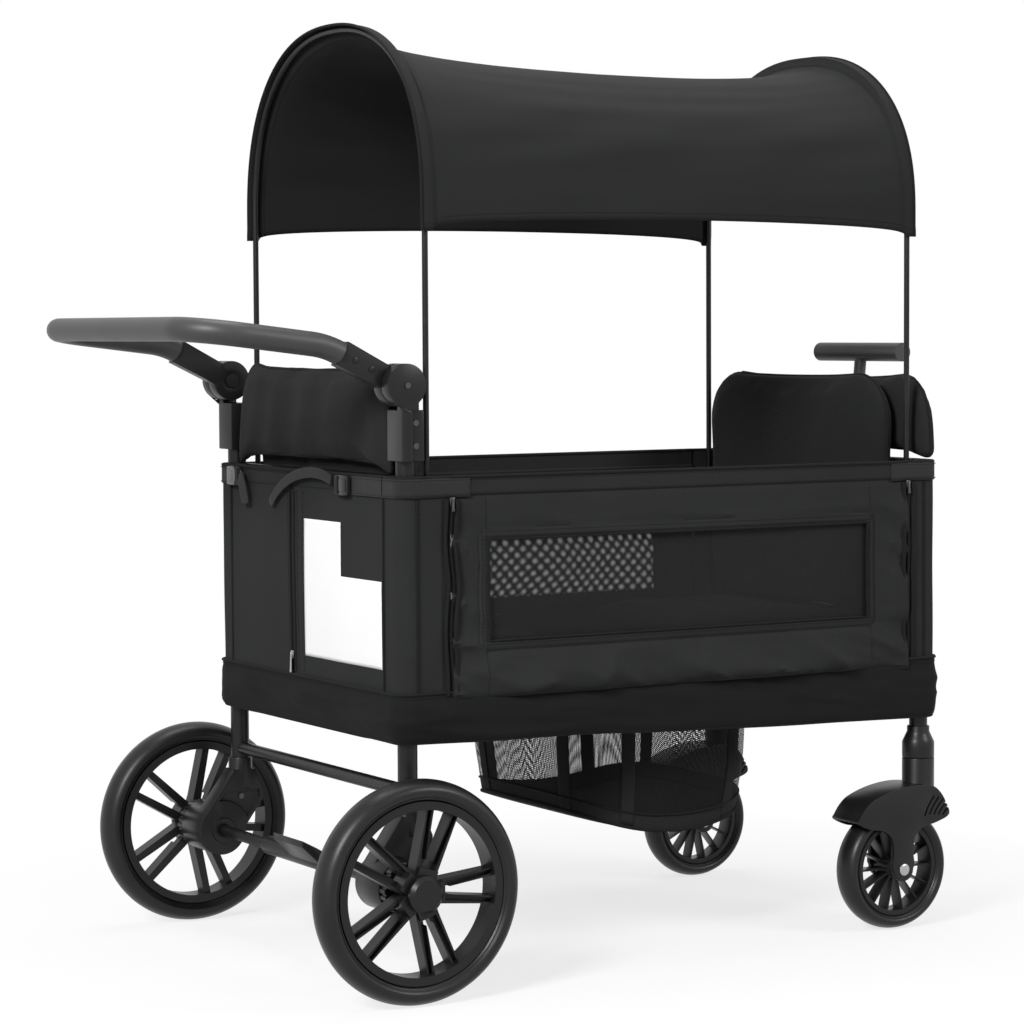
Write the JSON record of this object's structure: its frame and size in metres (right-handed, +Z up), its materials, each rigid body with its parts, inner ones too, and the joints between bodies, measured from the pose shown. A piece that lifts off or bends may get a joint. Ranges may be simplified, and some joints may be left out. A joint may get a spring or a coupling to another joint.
{
  "type": "stroller wagon",
  "caption": "Folding stroller wagon with facing seats in a fabric tub, arched canopy on poles, push handle, pull handle, spoked rear wheels and swivelling front casters.",
  "frame": {"origin": "on the ground below the middle of the whole length and width", "axes": "+X to the caster end, +Y to the left seen from the push handle, +Z up"},
  "size_m": [1.2451, 0.737, 1.2707],
  "materials": {
    "black_tube": "satin black powder coat",
    "black_plastic": "fine grained moulded plastic",
    "tyre_rubber": "smooth matt rubber",
    "foam_grip": "soft foam with a dull sheen",
    "tub_fabric": "plain woven polyester",
    "canopy_fabric": "fine plain weave",
    "cushion_fabric": "padded plain weave",
    "net": "open knitted net",
    "webbing": "ribbed webbing",
    "white_vinyl": "smooth white vinyl",
    "steel": "plated"
  },
  "bodies": {
    "rear_frame": {"rear_posts": "black_tube", "rear_seat_frame": "black_tube", "rear_cross_tube": "black_tube", "rear_brackets": "black_plastic", "handle_clamps": "black_plastic", "frame_screws": "steel", "rear_collars": "black_plastic", "rear_wall": "tub_fabric", "rear_corners": "tub_fabric", "rear_backrest": "cushion_fabric", "rear_seat": "cushion_fabric", "vinyl_patch": "white_vinyl", "rear_belts": "webbing", "rear_buckles": "black_plastic", "rear_sockets": "black_plastic", "side_walls": "tub_fabric", "side_nets": "net", "skirt": "tub_fabric", "footwell": "tub_fabric"},
    "zip_slider": {"zip_puller": "steel"},
    "push_handle": {"handle_bar": "foam_grip", "handle_arms": "black_plastic"},
    "button_left": {"handle_button_left": "black_plastic"},
    "button_right": {"handle_button_right": "black_plastic"},
    "rear_wheel_left": {"rear_tyre_left": "tyre_rubber", "rear_rim_left": "black_plastic", "hub_cap_left": "black_plastic"},
    "rear_wheel_right": {"rear_tyre_right": "tyre_rubber", "rear_rim_right": "black_plastic", "hub_cap_right": "black_plastic"},
    "brake": {"brake_shaft": "black_tube", "brake_pedal": "black_plastic"},
    "brake_lock_left": {"brake_pin_left": "steel"},
    "brake_lock_right": {"brake_pin_right": "steel"},
    "rear_rising_links": {"link_rear_up": "black_tube"},
    "rear_falling_links": {"link_rear_down": "black_tube"},
    "front_rising_links": {"link_front_up": "black_tube"},
    "front_falling_links": {"link_front_down": "black_tube"},
    "front_frame": {"front_posts": "black_tube", "front_seat_frame": "black_tube", "caster_housings": "black_plastic", "front_collars": "black_plastic", "front_wall": "tub_fabric", "front_corners": "tub_fabric", "front_backrest": "cushion_fabric", "front_seat": "cushion_fabric", "front_belts": "webbing", "front_sockets": "black_plastic", "pull_base": "black_plastic"},
    "caster_left": {"caster_fork_left": "black_plastic"},
    "caster_right": {"caster_fork_right": "black_plastic"},
    "caster_wheel_left": {"caster_tyre_left": "tyre_rubber", "caster_rim_left": "black_plastic"},
    "caster_wheel_right": {"caster_tyre_right": "tyre_rubber", "caster_rim_right": "black_plastic"},
    "rear_canopy": {"rear_bow": "black_tube", "canopy_sheet": "canopy_fabric"},
    "front_canopy": {"front_bow": "black_tube"},
    "pull_stem": {"pull_stem": "black_tube"},
    "pull_grip": {"pull_grip": "foam_grip"}
  },
  "joints": [
    {"name": "fold", "type": "hinge", "parent": "rear_frame", "child": "rear_rising_links", "pos_m": [-0.31344, 0, 0.335], "axis": [0, -1, 0], "range_deg": [0, 33], "deforming": ["side_walls", "side_nets", "skirt", "footwell", "canopy_sheet"]},
    {"name": "fold_rear_cross", "type": "hinge", "parent": "rear_rising_links", "child": "rear_falling_links", "pos_m": [-0.10469, 0, 0.38], "axis": [0, 1, 0], "range_deg": [0, 66]},
    {"name": "fold_middle", "type": "hinge", "parent": "rear_rising_links", "child": "front_falling_links", "pos_m": [0.10407, 0, 0.425], "axis": [0, 1, 0], "range_deg": [0, 66]},
    {"name": "fold_front_cross", "type": "hinge", "parent": "front_falling_links", "child": "front_rising_links", "pos_m": [0.31282, 0, 0.38], "axis": [0, -1, 0], "range_deg": [0, 66]},
    {"name": "fold_front", "type": "hinge", "parent": "front_falling_links", "child": "front_frame", "pos_m": [0.52156, 0, 0.335], "axis": [0, -1, 0], "range_deg": [0, 33]},
    {"name": "handle_tilt", "type": "hinge", "parent": "rear_frame", "child": "push_handle", "pos_m": [-0.32543, 0, 0.788], "axis": [0, 1, 0], "range_deg": [-55, 60]},
    {"name": "button_left_press", "type": "slide", "parent": "push_handle", "child": "button_left", "axis": [0, 1, 0], "range_m": [0, 0.003], "stiffness_N_per_m": 400},
    {"name": "button_right_press", "type": "slide", "parent": "push_handle", "child": "button_right", "axis": [0, -1, 0], "range_m": [0, 0.003], "stiffness_N_per_m": 400},
    {"name": "rear_wheel_left_spin", "type": "hinge", "parent": "rear_frame", "child": "rear_wheel_left", "pos_m": [-0.34843, 0.3375, 0.145], "axis": [0, 1, 0], "continuous": true},
    {"name": "rear_wheel_right_spin", "type": "hinge", "parent": "rear_frame", "child": "rear_wheel_right", "pos_m": [-0.34843, -0.3375, 0.145], "axis": [0, 1, 0], "continuous": true},
    {"name": "brake_press", "type": "hinge", "parent": "rear_frame", "child": "brake", "pos_m": [-0.34843, 0, 0.145], "axis": [0, -1, 0], "range_deg": [0, 25]},
    {"name": "brake_lock_left_slide", "type": "slide", "parent": "rear_frame", "child": "brake_lock_left", "axis": [0, 1, 0], "range_m": [0, 0.009]},
    {"name": "brake_lock_right_slide", "type": "slide", "parent": "rear_frame", "child": "brake_lock_right", "axis": [0, -1, 0], "range_m": [0, 0.009]},
    {"name": "caster_left_swivel", "type": "hinge", "parent": "front_frame", "child": "caster_left", "pos_m": [0.52156, 0.252, 0.243], "axis": [0, 0, 1], "continuous": true},
    {"name": "caster_right_swivel", "type": "hinge", "parent": "front_frame", "child": "caster_right", "pos_m": [0.52156, -0.252, 0.243], "axis": [0, 0, 1], "continuous": true},
    {"name": "caster_left_spin", "type": "hinge", "parent": "caster_left", "child": "caster_wheel_left", "pos_m": [0.47257, 0.252, 0.088], "axis": [0, 1, 0], "continuous": true},
    {"name": "caster_right_spin", "type": "hinge", "parent": "caster_right", "child": "caster_wheel_right", "pos_m": [0.47257, -0.252, 0.088], "axis": [0, 1, 0], "continuous": true},
    {"name": "canopy_lift", "type": "slide", "parent": "rear_frame", "child": "rear_canopy", "axis": [0, 0, 1], "range_m": [0, 0.07]},
    {"name": "canopy_lift_front", "type": "slide", "parent": "front_frame", "child": "front_canopy", "axis": [0, 0, 1], "range_m": [0, 0.07]},
    {"name": "pull_fold", "type": "hinge", "parent": "front_frame", "child": "pull_stem", "pos_m": [0.57156, 0, 0.424], "axis": [0, 1, 0], "range_deg": [0, 75]},
    {"name": "pull_extend", "type": "slide", "parent": "pull_stem", "child": "pull_grip", "axis": [0.0926, 0, 0.9957], "range_m": [0, 0.12]},
    {"name": "zip_slide", "type": "slide", "parent": "rear_frame", "child": "zip_slider", "axis": [0, 0, 1], "range_m": [0, 0.23]}
  ],
  "couplings": [
    {"joint": "fold_rear_cross", "follows": "fold", "ratio": 2},
    {"joint": "fold_middle", "follows": "fold", "ratio": 2},
    {"joint": "fold_front_cross", "follows": "fold", "ratio": 2},
    {"joint": "fold_front", "follows": "fold", "ratio": 1},
    {"joint": "brake_lock_left_slide", "follows": "brake_press", "m_per_rad": 0.020625},
    {"joint": "brake_lock_right_slide", "follows": "brake_press", "m_per_rad": 0.020625},
    {"joint": "canopy_lift_front", "follows": "canopy_lift", "ratio": 1}
  ]
}
